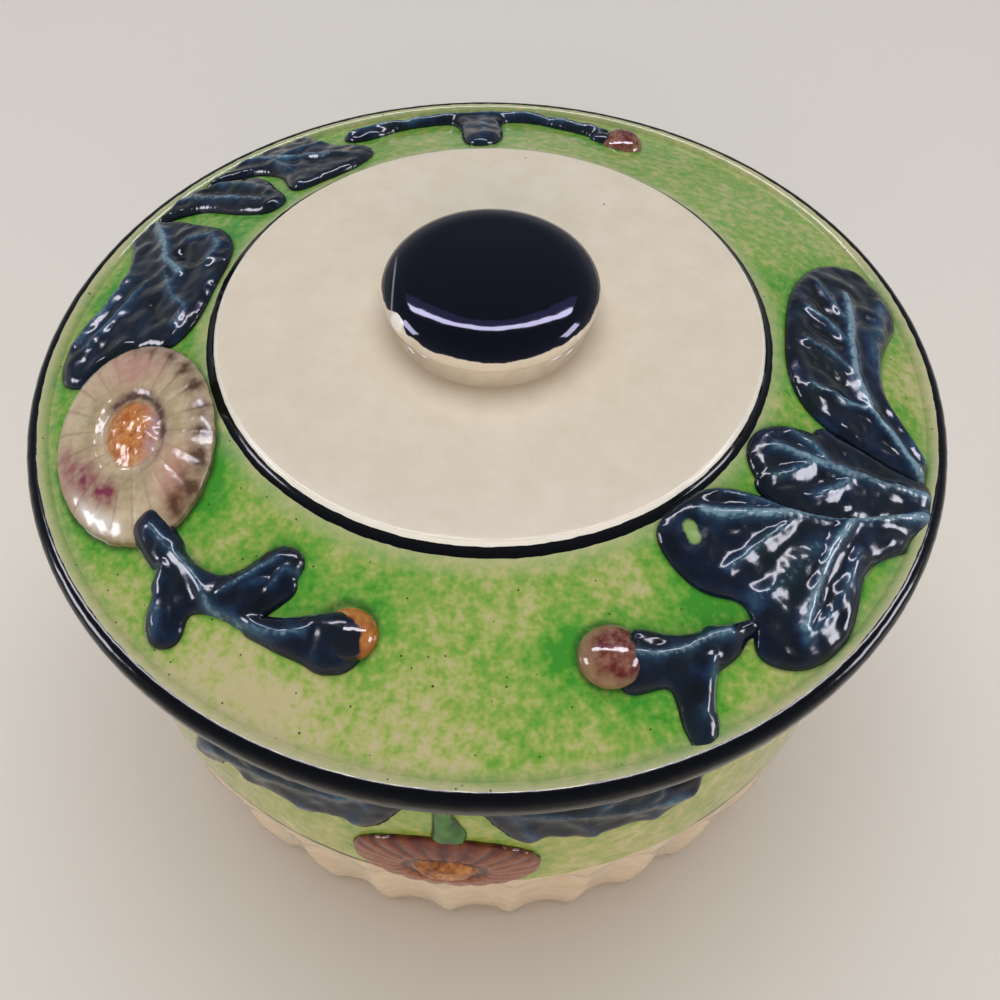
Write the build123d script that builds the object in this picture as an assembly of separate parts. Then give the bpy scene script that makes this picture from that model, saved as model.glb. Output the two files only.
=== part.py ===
"""Glazed ceramic canister: a bulged, fluted jar and an overhanging lid, both with luted-on relief.

Millimetres, +Z up, origin on the table under the middle of the jar. Front is -Y.
"""
import os
from math import asin, cos, degrees, hypot, pi, radians, sin, sqrt

from build123d import *

# Jar: a drum of two arcs that stand upright at the belly, with a flat mouth rim and a foot ring
jar_height = 77.0
belly_radius = 67.4
belly_height = 30.0
mouth_draw_in = 5.6
foot_draw_in = 2.9
jar_wall = 4.6
jar_floor = 5.0
inside_corner_radius = 9.0
foot_ring_width = 6.0
foot_recess = 2.5
foot_rounding = 0.8
mouth_rounding = 1.2

# Flutes: hollow upright channels round the jar's lower part, narrow ridges between them, a border line above
flute_count = 36
flute_depth = 1.5
flute_ridge = 0.8
flute_top_height = 34.5
border_height = 35.6

# Lid: a raised flat disc, a sloping band and a rolled bead; heights are above the mouth rim
lid_overhang = 8.2
bead_radius = 1.75
bead_drop = 0.9
bead_crease_degrees = 30.0
disc_radius = 40.3
disc_height = 13.4
disc_rounding = 0.6
disc_step = 1.1
disc_step_run = 0.6
lid_wall = 4.2
lid_play = 1.0
flange_wall = 3.8
flange_drop = 7.0
flange_rounding = 0.8

# Knob: a low mushroom stuck on the disc; heights are above the disc
knob_base_radius = 14.4
knob_neck_radius = 13.0
knob_neck_height = 2.6
knob_radius = 15.8
knob_widest_height = 5.2
knob_shoulder_radius = 12.6
knob_shoulder_height = 8.6
knob_height = 9.3

# Relief: clay pieces pressed in small moulds and luted on with slip
slip_gap = 0.1
sprig_gap = 0.4
relief_margin = 0.2
leaf_relief = 2.4
twig_relief = 2.2
jar_leaf_relief = 2.0
bud_radius = 3.7
petal_count = 22
petal_swell = 0.5
petal_relief = 2.6
flower_radial_half = 11.3
flower_round_half = 16.6
flower_eye_radius = 5.2
flower_eye_relief = 4.0
daisy_half_width = 13.2
daisy_half_height = 8.2
daisy_petal_relief = 1.8
daisy_eye_radius = 4.2
daisy_eye_relief = 2.6
stalk_length = 20.0

# Relief places on the lid: degrees round the axis from +X, and share across the band from disc to bead
right_long_leaf_shares = [
    (342, 1.04), (347, 0.88), (352.5, 0.73), (358, 0.73), (4.5, 0.85), (8.5, 0.96), (14.5, 0.98),
    (18.5, 0.91), (20, 0.77), (16.5, 0.43), (8.5, 0.22), (358.5, 0.13), (347, 0.16), (343, 0.26),
    (340.8, 0.49), (340.4, 0.78)]
right_middle_leaf_shares = [
    (340, 1.04), (339, 0.65), (338, 0.36), (336, 0.18), (332, 0.07), (327, 0.06), (323.5, 0.18),
    (325, 0.39), (330, 0.65), (336, 0.94)]
right_lobed_leaf_shares = [
    (337, 1.09), (334.5, 0.92), (328.5, 0.68), (323.5, 0.44), (319, 0.18), (313.5, 0.05), (306.5, 0.03),
    (301.5, 0.08), (301, 0.26), (304, 0.45), (307, 0.56), (306.5, 0.68), (305, 0.78), (307, 0.91),
    (310.5, 0.98), (315, 0.99), (319.5, 0.93), (323.5, 0.87), (328, 0.93), (332.5, 1.05)]
right_twig_shares = [
    (305.5, 0.64), (300.5, 0.59), (295.5, 0.54), (290, 0.46), (286.5, 0.58), (288, 0.7), (293, 0.74),
    (293, 0.88), (293.4, 0.98), (295, 0.98), (296.5, 0.91), (299, 0.76), (303.5, 0.72)]
right_bud_share = (286.5, 0.52)
flower_share = (203, 0.49)
front_twig_shares = [
    (215.5, 0.65), (215.5, 0.57), (218, 0.53), (223, 0.54), (228, 0.55), (232.5, 0.5), (235, 0.37),
    (237.5, 0.24), (241, 0.24), (241, 0.38), (238.5, 0.55), (242.5, 0.55), (247, 0.48), (250, 0.4),
    (252.3, 0.46), (251.3, 0.55), (246, 0.62), (239, 0.64), (233.5, 0.67), (231.5, 0.74), (232.5, 0.86),
    (231, 0.93), (228.5, 0.91), (225.5, 0.74), (222.5, 0.67), (219, 0.69)]
front_bud_share = (252, 0.46)
left_long_leaf_shares = [
    (156.5, 1.06), (160.5, 0.91), (165.5, 0.81), (171, 0.81), (177, 0.91), (182, 0.96), (187, 0.9),
    (188, 0.77), (186, 0.63), (185, 0.43), (186, 0.27), (182, 0.13), (173.5, 0.08), (165, 0.08),
    (158, 0.17), (154, 0.37), (153, 0.61), (153, 0.89)]
left_middle_leaf_shares = [
    (152, 1.07), (148, 1.07), (144.5, 0.99), (141, 0.84), (138, 0.68), (137.5, 0.51), (139.5, 0.3),
    (142.5, 0.13), (145.5, 0.13), (147.5, 0.26), (148, 0.42), (148, 0.63), (150, 0.84)]
left_lobed_leaf_shares = [
    (142, 1.04), (137.5, 1.01), (132.5, 0.98), (128.5, 1.02), (124.5, 1.02), (122.5, 0.95),
    (122.5, 0.8), (121.5, 0.63), (119, 0.49), (117, 0.32), (120, 0.18), (125.5, 0.11), (132.5, 0.12),
    (137, 0.18), (136.5, 0.3), (134.5, 0.47), (135, 0.66), (138, 0.84)]
rear_twig_shares = [
    (117.6, 0.76), (109.5, 0.77), (101.5, 0.8), (93.5, 0.85), (85.5, 0.84), (77.5, 0.77), (69, 0.72),
    (67.5, 0.58), (71.5, 0.6), (78, 0.66), (85, 0.73), (89, 0.69), (89.5, 0.47), (89.5, 0.26),
    (92, 0.13), (95, 0.12), (97, 0.25), (97, 0.48), (98.5, 0.66), (103, 0.68), (109, 0.66), (118, 0.69)]
rear_bud_share = (67, 0.61)

# Relief places on the jar: degrees from the spray's middle, and share of the height from border to mouth
front_spray_degrees = 266
rear_spray_degrees = 86
daisy_height_share = 0.22
jar_left_leaf_shares = [
    (-2.2, 0.74), (-5.1, 0.63), (-7.3, 0.52), (-10.7, 0.44), (-13.7, 0.48), (-18, 0.4), (-21.4, 0.46),
    (-26.1, 0.4), (-29.1, 0.45), (-32.5, 0.34), (-35.9, 0.29), (-36.3, 0.41), (-33.3, 0.53),
    (-29.5, 0.59), (-27.8, 0.7), (-22.7, 0.69), (-18.8, 0.8), (-14.5, 0.76), (-9.4, 0.86), (-5.1, 0.82),
    (-2.4, 0.8)]
jar_right_leaf_shares = [
    (2.2, 0.74), (5.1, 0.63), (7.3, 0.52), (10.7, 0.44), (13.7, 0.48), (18, 0.41), (21.4, 0.47),
    (25.7, 0.41), (30.4, 0.44), (33.3, 0.52), (30.8, 0.6), (27.8, 0.61), (26.5, 0.71), (22.7, 0.69),
    (18.8, 0.8), (14.5, 0.76), (9.4, 0.86), (5.1, 0.82), (2.4, 0.8)]

# Stalk outline: degrees from the spray's middle, and share of the stalk's length above the daisy
jar_stalk_shares = [
    (-1.6, 0), (-1.2, 0.34), (-1.4, 0.65), (-1, 1), (1, 1), (1.4, 0.65), (1.2, 0.34), (1.6, 0)]


def spun(outline):
    """Solid of revolution from a closed outline drawn in radius and height."""
    return revolve(Plane.XZ * make_face(outline), Axis.Z)


def spun_rounded(outline, corners):
    """Solid of revolution with some of the outline's corners, given with their radii, rounded off."""
    profile = make_face(outline)
    for corner, radius in corners:
        profile = fillet(profile.vertices().sort_by_distance(corner)[0], radius)
    return revolve(Plane.XZ * profile, Axis.Z)


# Jar wall
def draw_in_radius(rise, swell):
    """Radius of an arc that starts upright and draws in by the swell over the rise."""
    return (rise**2 + swell**2) / (2 * swell)


mouth_radius = belly_radius - mouth_draw_in
foot_radius = belly_radius - foot_draw_in
upper_arc_radius = draw_in_radius(jar_height - belly_height, mouth_draw_in)
lower_arc_radius = draw_in_radius(belly_height, foot_draw_in)


def wall_radius(height, offset=0):
    """Outside radius of the jar at a height, with the wall moved out along its normal by an offset."""
    arc_radius = upper_arc_radius if height > belly_height else lower_arc_radius
    return belly_radius - arc_radius + sqrt((arc_radius + offset) ** 2 - (height - belly_height) ** 2)


def wall_arc(start, end, offset=0):
    """Stretch of the wall's outline between two heights on one side of the belly."""
    heights = (start, (start + end) / 2, end)
    return ThreePointArc(*[(wall_radius(height, offset), height) for height in heights])


# Jar body, with its flutes
def flute_cutter():
    """Bent round bar with a ball end that hollows out the flute on the +X side."""
    half_width = (2 * pi * foot_radius / flute_count - flute_ridge) / 2
    bar_radius = draw_in_radius(half_width, flute_depth)
    path_radius = lower_arc_radius + bar_radius - flute_depth
    path_centre = Vector(belly_radius - lower_arc_radius, 0, belly_height)
    tip_angle = asin((flute_top_height - half_width - belly_height) / path_radius)
    end_angle = asin((-bar_radius - belly_height) / path_radius)
    along = Vector(-sin(tip_angle), 0, cos(tip_angle))
    tip = Plane(path_centre + path_radius * Vector(cos(tip_angle), 0, sin(tip_angle)), (0, 1, 0), along)
    bar = revolve(tip * Circle(bar_radius), Axis(path_centre, (0, 1, 0)), degrees(tip_angle - end_angle))
    ball_end = split(tip * Sphere(bar_radius), tip, Keep.TOP)
    return bar + ball_end


def make_jar_body():
    inside_floor = foot_recess + jar_floor
    foot_ring_radius = foot_radius - foot_ring_width
    inner_mouth = (wall_radius(jar_height, -jar_wall), jar_height)
    inner_corner = (wall_radius(inside_floor, -jar_wall), inside_floor)
    outline = Polyline(
        (0, foot_recess), (foot_ring_radius, foot_recess), (foot_ring_radius, 0), (foot_radius, 0))
    outline += wall_arc(0, belly_height)
    outline += wall_arc(belly_height, border_height)
    outline += wall_arc(border_height, jar_height)
    outline += Line((mouth_radius, jar_height), inner_mouth)
    outline += wall_arc(jar_height, belly_height, -jar_wall)
    outline += wall_arc(belly_height, inside_floor, -jar_wall)
    outline += Polyline(inner_corner, (0, inside_floor), (0, foot_recess))
    body = spun_rounded(outline, [
        ((foot_ring_radius, 0), foot_rounding),
        ((mouth_radius, jar_height), mouth_rounding),
        (inner_mouth, mouth_rounding),
        (inner_corner, inside_corner_radius)])
    cutter = flute_cutter()
    return body - [Rot(0, 0, 360 * index / flute_count) * cutter for index in range(flute_count)]


# Lid
lid_radius = mouth_radius + lid_overhang
bead_centre_radius = lid_radius - bead_radius
band_inner_radius = disc_radius + disc_step_run
band_inner_height = disc_height - disc_step
band_outer_radius = bead_centre_radius - bead_radius * cos(radians(bead_crease_degrees))
band_outer_height = bead_radius + bead_radius * sin(radians(bead_crease_degrees))
band_fall = (band_inner_height - band_outer_height) / (band_outer_radius - band_inner_radius)
upright_per_normal = hypot(1, band_fall)


def band_height(radius):
    """Height of the sloping band's surface above the mouth rim."""
    return band_outer_height + (band_outer_radius - radius) * band_fall


def bead_point(angle, drop=0.0):
    """Point on the bead's section, at an angle in degrees above the outward direction, lowered by a drop."""
    outward, upward = cos(radians(angle)), sin(radians(angle))
    return (bead_centre_radius + bead_radius * outward, bead_radius + bead_radius * upward - drop)


def make_lid():
    flange_radius = wall_radius(jar_height, -jar_wall) - lid_play
    hollow_radius = flange_radius - flange_wall
    ceiling = disc_height - lid_wall
    band_thickness = lid_wall * upright_per_normal
    ceiling_radius = band_outer_radius - (ceiling + band_thickness - band_outer_height) / band_fall
    crease = bead_point(180 - bead_crease_degrees)
    bead_bottom = bead_point(-90, bead_drop)
    outline = Polyline(
        (0, disc_height), (disc_radius, disc_height), (band_inner_radius, band_inner_height), crease)
    outline += ThreePointArc(crease, bead_point(75), bead_point(0))
    outline += Line(bead_point(0), bead_point(0, bead_drop))
    outline += ThreePointArc(bead_point(0, bead_drop), bead_point(-45, bead_drop), bead_bottom)
    outline += Polyline(
        bead_bottom,
        (band_outer_radius, 0),
        (flange_radius, 0),
        (flange_radius, -flange_drop),
        (hollow_radius, -flange_drop),
        (hollow_radius, band_height(hollow_radius) - band_thickness),
        (ceiling_radius, ceiling),
        (0, ceiling),
        (0, disc_height))
    return Pos(0, 0, jar_height) * spun_rounded(outline, [
        ((disc_radius, disc_height), disc_rounding),
        ((flange_radius, -flange_drop), flange_rounding),
        ((hollow_radius, -flange_drop), flange_rounding)])


# Knob
def make_knob():
    neck = (knob_neck_radius, knob_neck_height)
    widest = (knob_radius, knob_widest_height)
    shoulder = (knob_shoulder_radius, knob_shoulder_height)
    outline = Line((0, 0), (knob_base_radius, 0))
    outline += TangentArc((knob_base_radius, 0), neck, tangent=(-1, 0))
    outline += Line(neck, widest)
    outline += TangentArc(widest, shoulder, tangent=(0, 1))
    outline += TangentArc((0, knob_height), shoulder, tangent=(1, 0))
    outline += Line((0, knob_height), (0, 0))
    return Pos(0, 0, jar_height + disc_height) * spun(outline)


# Relief on the lid
def band_shell(relief):
    """Conical shell over the lid's band, a slip layer above it, in which a sprig of that relief lies."""
    inner = band_inner_radius + relief_margin
    outer = band_outer_radius - relief_margin
    low = jar_height + slip_gap * upright_per_normal
    high = low + relief * upright_per_normal
    return spun(Polyline(
        (inner, band_height(inner) + low),
        (outer, band_height(outer) + low),
        (outer, band_height(outer) + high),
        (inner, band_height(inner) + high),
        close=True))


def band_point(degrees_round, share):
    """Plan point at an angle round the lid and a share of the way across its band."""
    radius = band_inner_radius + share * (band_outer_radius - band_inner_radius)
    return Vector(radius * cos(radians(degrees_round)), radius * sin(radians(degrees_round)))


def lid_column(face, relief):
    """Upright column over a plan face, tall enough for a sprig of that relief."""
    return Pos(0, 0, jar_height) * extrude(face, disc_height + 2 * relief)


def lid_sprig(outline_shares, relief):
    outline = Spline(*[band_point(*place) for place in outline_shares], periodic=True)
    return lid_column(make_face(outline), relief) & band_shell(relief)


def make_bud(place):
    centre = band_point(*place)
    ball = Pos(centre.X, centre.Y, jar_height + band_height(hypot(centre.X, centre.Y))) * Sphere(bud_radius)
    return ball & band_shell(2 * bud_radius)


def bud_room(place):
    """Column kept free for a bud, with a gap round it."""
    centre = band_point(*place)
    return lid_column(Pos(centre.X, centre.Y) * Circle(bud_radius + sprig_gap), bud_radius)


def petal_ring(half_length, half_width):
    """Face with one outward arc for each petal round an ellipse."""
    def rim(step, swell=0):
        angle = 2 * pi * step / petal_count
        return ((half_length + swell) * cos(angle), (half_width + swell) * sin(angle))
    return make_face([
        ThreePointArc(rim(index), rim(index + 1 / 2, petal_swell), rim(index + 1))
        for index in range(petal_count)])


def flower_place():
    centre = band_point(*flower_share)
    return Pos(centre.X, centre.Y) * Rot(0, 0, flower_share[0])


def make_flower():
    petals = lid_column(flower_place() * petal_ring(flower_radial_half, flower_round_half), petal_relief)
    eye = lid_column(flower_place() * Circle(flower_eye_radius), flower_eye_relief)
    return (petals & band_shell(petal_relief)) + (eye & band_shell(flower_eye_relief))


def flower_room():
    """Column kept free for the flower, with a gap round its petals."""
    gap = petal_swell + sprig_gap
    room = flower_place() * Ellipse(flower_radial_half + gap, flower_round_half + gap)
    return lid_column(room, flower_eye_relief)


# Relief on the jar
spray_degrees = {"front": front_spray_degrees, "rear": rear_spray_degrees}


def wall_shell(relief):
    """Shell over the jar's upper wall, a slip layer outside it, in which a sprig of that relief lies."""
    low, high = border_height, jar_height
    inside, outside = slip_gap, slip_gap + relief
    outline = wall_arc(low, high, inside) + wall_arc(high, low, outside)
    outline += Line((wall_radius(high, inside), high), (wall_radius(high, outside), high))
    outline += Line((wall_radius(low, outside), low), (wall_radius(low, inside), low))
    return spun(outline)


def wall_height(share):
    return border_height + share * (jar_height - border_height)


def wall_point(degrees_round, height):
    """Point on an upright plane through the axis that lies behind a place on the wall."""
    return (wall_radius(height) * sin(radians(degrees_round)), height)


def jar_column(spray, face):
    """Level column from the axis out through the wall, over a face drawn across and up."""
    facing = Rot(0, 0, spray_degrees[spray] + 90)
    return facing * extrude(Plane.XZ * face, belly_radius + 2 * daisy_eye_relief)


def jar_sprig(spray, outline):
    face = make_face(Spline(*outline, periodic=True))
    return jar_column(spray, face) & wall_shell(jar_leaf_relief)


def make_jar_leaf(spray, outline_shares):
    return jar_sprig(spray, [wall_point(around, wall_height(share)) for around, share in outline_shares])


def daisy_place():
    return Pos(0, wall_height(daisy_height_share))


def make_daisy(spray):
    petals = jar_column(spray, daisy_place() * petal_ring(daisy_half_width, daisy_half_height))
    eye = jar_column(spray, daisy_place() * Circle(daisy_eye_radius))
    return (petals & wall_shell(daisy_petal_relief)) + (eye & wall_shell(daisy_eye_relief))


def make_stalk(spray):
    """Stalk that rises from the daisy's upper edge."""
    low = wall_height(daisy_height_share) + daisy_half_height
    outline = [wall_point(around, low + share * stalk_length) for around, share in jar_stalk_shares]
    return jar_sprig(spray, outline) - daisy_room(spray)


def daisy_room(spray):
    """Column kept free for the daisy, with a gap round its petals."""
    gap = petal_swell + sprig_gap
    return jar_column(spray, daisy_place() * Ellipse(daisy_half_width + gap, daisy_half_height + gap))


pieces = {
    "jar_body": make_jar_body(),
    "lid": make_lid(),
    "knob": make_knob(),
    "lid_right_long_leaf": lid_sprig(right_long_leaf_shares, leaf_relief),
    "lid_right_middle_leaf": lid_sprig(right_middle_leaf_shares, leaf_relief),
    "lid_right_lobed_leaf": lid_sprig(right_lobed_leaf_shares, leaf_relief),
    "lid_right_twig": lid_sprig(right_twig_shares, twig_relief) - bud_room(right_bud_share),
    "lid_right_bud": make_bud(right_bud_share),
    "lid_flower": make_flower(),
    "lid_left_long_leaf": lid_sprig(left_long_leaf_shares, leaf_relief) - flower_room(),
    "lid_left_middle_leaf": lid_sprig(left_middle_leaf_shares, leaf_relief),
    "lid_left_lobed_leaf": lid_sprig(left_lobed_leaf_shares, leaf_relief),
    "lid_front_twig": lid_sprig(front_twig_shares, twig_relief) - bud_room(front_bud_share) - flower_room(),
    "lid_front_bud": make_bud(front_bud_share),
    "lid_rear_twig": lid_sprig(rear_twig_shares, twig_relief) - bud_room(rear_bud_share),
    "lid_rear_bud": make_bud(rear_bud_share),
}
for spray in spray_degrees:
    pieces[f"jar_{spray}_daisy"] = make_daisy(spray)
    pieces[f"jar_{spray}_stalk"] = make_stalk(spray)
    pieces[f"jar_{spray}_left_leaf"] = make_jar_leaf(spray, jar_left_leaf_shares)
    pieces[f"jar_{spray}_right_leaf"] = make_jar_leaf(spray, jar_right_leaf_shares)

os.makedirs("parts", exist_ok=True)
for name, piece in pieces.items():
    export_step(piece, f"parts/{name}.step")
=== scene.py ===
"""Glazed ceramic canister with floral relief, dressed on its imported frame.

Each section models its piece in millimetres, and the finished mesh is scaled to metres.
"""
from math import asin, atan, cos, degrees, hypot, pi, radians, sin, sqrt

import bmesh
import bpy
import numpy as np
from mathutils import Matrix, Vector, kdtree, noise


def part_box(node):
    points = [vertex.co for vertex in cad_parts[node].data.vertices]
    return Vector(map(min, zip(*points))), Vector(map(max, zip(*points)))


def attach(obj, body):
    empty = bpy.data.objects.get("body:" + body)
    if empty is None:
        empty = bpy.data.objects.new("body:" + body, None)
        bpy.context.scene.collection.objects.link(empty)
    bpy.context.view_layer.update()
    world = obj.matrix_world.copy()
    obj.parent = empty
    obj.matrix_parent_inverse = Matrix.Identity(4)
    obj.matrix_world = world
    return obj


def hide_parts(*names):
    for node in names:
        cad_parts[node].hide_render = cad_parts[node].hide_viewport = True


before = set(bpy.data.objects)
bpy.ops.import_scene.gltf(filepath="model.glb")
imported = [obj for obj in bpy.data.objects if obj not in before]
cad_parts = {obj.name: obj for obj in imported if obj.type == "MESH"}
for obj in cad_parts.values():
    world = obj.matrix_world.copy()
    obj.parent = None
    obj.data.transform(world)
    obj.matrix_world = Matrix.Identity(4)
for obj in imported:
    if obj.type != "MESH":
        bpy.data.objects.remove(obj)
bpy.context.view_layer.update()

# Jar body
# A drum slip-cast from cream earthenware in a plaster mould, fluted below a border line. Green glaze is sponged
# on its upper wall, clear glaze covers the flutes and the inside, and the foot ring stays bare.
MM = 0.001
jar_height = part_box("jar_body")[1].z / MM
belly_radius, belly_height = 67.4, 30.0
mouth_draw_in, foot_draw_in = 5.6, 2.9
jar_wall = 4.6
inside_floor, inside_corner = 7.5, 9.0
foot_ring_width, foot_recess = 6.0, 2.5
edge_rounding, mouth_rounding = 0.8, 1.2
flute_count, flute_depth, flute_ridge, flute_top = 36, 1.5, 0.8, 34.5
steps_per_flute, wall_step = 10, 0.9
border_height = 35.6
mouth_radius = belly_radius - mouth_draw_in
foot_radius = belly_radius - foot_draw_in


def draw_in_radius(rise, swell):
    """Radius of an arc that starts upright and draws in by the swell over the rise."""
    return (rise**2 + swell**2) / (2 * swell)


upper_arc = draw_in_radius(jar_height - belly_height, mouth_draw_in)
lower_arc = draw_in_radius(belly_height, foot_draw_in)


def wall_radius(height, offset=0.0):
    """Outside radius of the jar at a height, with the wall moved out along its normal by an offset."""
    arc_radius = np.where(np.asarray(height) > belly_height, upper_arc, lower_arc)
    return belly_radius - arc_radius + np.sqrt((arc_radius + offset) ** 2 - (height - belly_height) ** 2)


def arc(centre, radii, start, end, steps):
    """Profile points on an arc with two half axes, between two angles in degrees."""
    angles = np.radians(np.linspace(start, end, steps + 1))
    return [(centre[0] + radii[0] * cos(angle), centre[1] + radii[1] * sin(angle)) for angle in angles]


def straight(start, end, steps):
    """Profile points on a straight run, without its first point."""
    return [tuple(point) for point in np.linspace(start, end, steps + 1)[1:]]


def wall_run(low, high, offset=0.0):
    """Profile points up or down the jar's wall."""
    steps = round(abs(high - low) / wall_step)
    return [(wall_radius(height, offset), height) for height in np.linspace(low, high, steps + 1)]


def runs(profile):
    """Length along a profile to each of its points."""
    return np.cumsum([0] + [hypot(b[0] - a[0], b[1] - a[1]) for a, b in zip(profile, profile[1:])])


def run_to(profile, place):
    """Length along a profile to its point nearest a place."""
    gaps = [hypot(radius - place[0], height - place[1]) for radius, height in profile]
    return float(runs(profile)[gaps.index(min(gaps))])


def turned(profile, steps):
    """Spins a profile of radii and heights round the axis; each vertex keeps its length along the profile."""
    bm = bmesh.new()
    along = bm.verts.layers.float.new("along")
    verts = [bm.verts.new((radius, 0, height)) for radius, height in profile]
    for vert, length in zip(verts, runs(profile)):
        vert[along] = length
    edges = [bm.edges.new(pair) for pair in zip(verts, verts[1:])]
    bmesh.ops.spin(
        bm, geom=verts + edges, cent=(0, 0, 0), axis=(0, 0, 1), angle=2 * pi, steps=steps, use_merge=True)
    bmesh.ops.remove_doubles(bm, verts=bm.verts, dist=0.01)
    bmesh.ops.recalc_face_normals(bm, faces=bm.faces)
    return bm


foot_inside = foot_radius - foot_ring_width
inner_mouth = wall_radius(jar_height, -jar_wall)
inner_corner = wall_radius(inside_floor + inside_corner, -jar_wall) - inside_corner
foot_round, mouth_round = (edge_rounding, edge_rounding), (mouth_rounding, mouth_rounding)
jar_profile = [(0, foot_recess)] + straight((0, foot_recess), (foot_inside - edge_rounding, foot_recess), 8)
jar_profile += [(foot_inside, foot_recess - edge_rounding)]
jar_profile += arc((foot_inside + edge_rounding, edge_rounding), foot_round, 180, 270, 4)
jar_profile += arc((foot_radius - edge_rounding, edge_rounding), foot_round, 270, 360, 4)
jar_profile += wall_run(2 * edge_rounding, jar_height - mouth_rounding)
jar_profile += arc((mouth_radius - mouth_rounding, jar_height - mouth_rounding), mouth_round, 15, 90, 5)
jar_profile += arc((inner_mouth + mouth_rounding, jar_height - mouth_rounding), mouth_round, 90, 180, 5)
jar_profile += wall_run(jar_height - 2 * mouth_rounding, inside_floor + inside_corner, -jar_wall)
jar_profile += arc((inner_corner, inside_floor + inside_corner), (inside_corner, inside_corner), 0, -90, 8)[1:]
jar_profile += straight((inner_corner, inside_floor), (0, inside_floor), 8)
jar_bm = turned(jar_profile, flute_count * steps_per_flute)

flute_spacing = 2 * pi * foot_radius / flute_count
flute_half = (flute_spacing - flute_ridge) / 2
flute_bar = draw_in_radius(flute_half, flute_depth)
for vert in jar_bm.verts:
    out = hypot(vert.co.x, vert.co.y)
    if vert.co.z < flute_top and out > wall_radius(vert.co.z) - jar_wall / 2:
        flutes_round = np.arctan2(vert.co.y, vert.co.x) * flute_count / (2 * pi)
        across = (flutes_round - round(flutes_round)) * flute_spacing
        from_middle = hypot(across, max(0, vert.co.z - (flute_top - flute_half)))
        if from_middle < flute_half:
            vert.co.xy *= (out - sqrt(flute_bar**2 - from_middle**2) + flute_bar - flute_depth) / out

pool_reach, pool_depth, farthest_beside = 5.0, 0.3, 20.0


def mark_pools(bm, relief_prefix, spots):
    """Vertex values of the distance from the relief, and of glaze thickness: it pools beside the relief and in spots,
    and is thin in negative spots."""
    pool = bm.verts.layers.float.new("pool")
    beside = bm.verts.layers.float.new("beside")
    places = [vert.co / MM for name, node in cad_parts.items() if name.startswith(relief_prefix)
              for vert in node.data.vertices]
    tree = kdtree.KDTree(len(places))
    for index, place in enumerate(places):
        tree.insert(place, index)
    tree.balance()
    for vert in bm.verts:
        near = tree.find(vert.co)[2]
        vert[beside] = min(near, farthest_beside)
        vert[pool] = pool_depth * max(0.0, 1 - near / pool_reach) + sum(
            strength * np.exp(-((vert.co.x - x) ** 2 + (vert.co.y - y) ** 2) / size**2)
            for x, y, size, strength in spots)


sharp_angle = radians(50)


def finished(node, bm, body, material):
    """Makes the piece that stands for a CAD node from its mesh in millimetres."""
    bmesh.ops.scale(bm, vec=(MM, MM, MM), verts=bm.verts)
    for face in bm.faces:
        face.smooth = True
    for edge in bm.edges:
        edge.smooth = edge.calc_face_angle(0) < sharp_angle
    piece = bpy.data.objects.new("glazed_" + node, bpy.data.meshes.new("glazed_" + node))
    bm.to_mesh(piece.data)
    bm.free()
    piece.data.materials.append(material)
    bpy.context.collection.objects.link(piece)
    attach(piece, body)
    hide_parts(node)


def colour(code):
    """Linear colour from an sRGB hex code."""
    channels = [int(code[start:start + 2], 16) / 255 for start in (1, 3, 5)]
    return [c / 12.92 if c <= 0.04045 else ((c + 0.055) / 1.055) ** 2.4 for c in channels] + [1.0]


def add(tree, kind, inputs=None, stops=None, **settings):
    """Adds a shader node; an input is a value, a socket, or a node whose first live output is linked."""
    node = tree.nodes.new("ShaderNode" + kind)
    for name, value in settings.items():
        setattr(node, name, value)
    for key, value in (inputs or {}).items():
        if isinstance(value, bpy.types.Node):
            value = next(output for output in value.outputs if output.enabled)
        if isinstance(value, bpy.types.NodeSocket):
            tree.links.new(value, node.inputs[key])
        else:
            node.inputs[key].default_value = value
    for index, (position, tint) in enumerate(stops or []):
        elements = node.color_ramp.elements
        element = elements[index] if index < 2 else elements.new(position)
        element.position, element.color = position, tint
    return node


def fired_glaze(name, roughness, ripple_size, ripple_depth):
    """New glossy glaze with shallow ripples: its material, node tree, shader and place on the piece."""
    material = bpy.data.materials.new(name)
    material.use_nodes = True
    tree = material.node_tree
    shader = tree.nodes["Principled BSDF"]
    shader.inputs["Roughness"].default_value = roughness
    shader.inputs["IOR"].default_value = 1.5
    place = add(tree, "TexCoord").outputs["Object"]
    ripple = add(tree, "TexNoise", {"Vector": place, "Scale": 1 / (ripple_size * MM), "Detail": 1.0})
    bump = add(tree, "Bump", {"Height": ripple, "Distance": ripple_depth * MM, "Strength": 1.0})
    tree.links.new(bump.outputs["Normal"], shader.inputs["Normal"])
    return material, tree, shader, place


def sponged(tree, place, thickness, blotch_size, dab_size, tints):
    """Colour of glaze dabbed on with a sponge, from the thin tint to the deep one by its mottled thickness."""
    hole_size = dab_size / 2.6
    mottle = ((blotch_size, 0.55), (dab_size, 1.05), (hole_size, 0.55))
    thickness = add(tree, "Math", {0: thickness, 1: -sum(weight for size, weight in mottle) / 2})
    for size, weight in mottle:
        patches = add(tree, "TexNoise", {"Vector": place, "Scale": 1 / (size * MM), "Detail": 1.5})
        thickness = add(tree, "Math", {0: patches, 1: weight, 2: thickness}, operation="MULTIPLY_ADD")
    return add(tree, "ValToRGB", {0: thickness}, stops=[(share, colour(code)) for share, code in tints])


def pinholes(tree, place, spacing, size, share):
    """Share of round, soft-edged pits, in a part of the cells a spacing apart."""
    cells = add(tree, "TexVoronoi", {"Vector": place, "Scale": 1 / (spacing * MM)})
    pit = add(tree, "MapRange", {0: cells.outputs["Distance"], 1: 0.6 * size / spacing, 2: 0.4 * size / spacing})
    chosen = add(tree, "Math", {0: cells.outputs["Color"], 1: 1 - share}, operation="GREATER_THAN")
    return add(tree, "Math", {0: pit, 1: chosen}, operation="MULTIPLY")


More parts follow.
